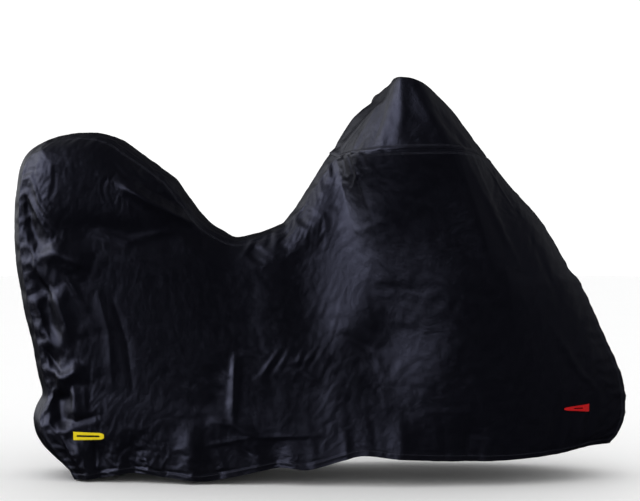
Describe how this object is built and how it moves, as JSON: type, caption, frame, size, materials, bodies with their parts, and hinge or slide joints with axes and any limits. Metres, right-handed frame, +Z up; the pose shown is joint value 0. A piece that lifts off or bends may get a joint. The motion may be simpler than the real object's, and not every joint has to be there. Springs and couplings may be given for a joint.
{
  "type": "motorcycle cover",
  "caption": "Fitted black nylon cover for a large scooter with a luggage box: domed tail, deep saddle, high handlebar cap, open hem and webbing loops on one side.",
  "frame": {"origin": "middle of the cover's length and width, on the floor below its lowest hem", "axes": "+X towards the front of the machine, +Y towards its left side, +Z up"},
  "size_m": [2.0896, 0.7758, 1.3331],
  "materials": {
    "nylon": "thin coated nylon, black with a navy tinge, slight sheen",
    "yellow_webbing": "woven polyester webbing, yellow, matt",
    "red_webbing": "woven polyester webbing, red, matt"
  },
  "bodies": {
    "root": {"right_side": "nylon", "left_side": "nylon", "centre_strip": "nylon", "cap": "nylon", "front_strip": "nylon", "rear_loop": "yellow_webbing", "front_loop": "red_webbing"}
  },
  "joints": []
}
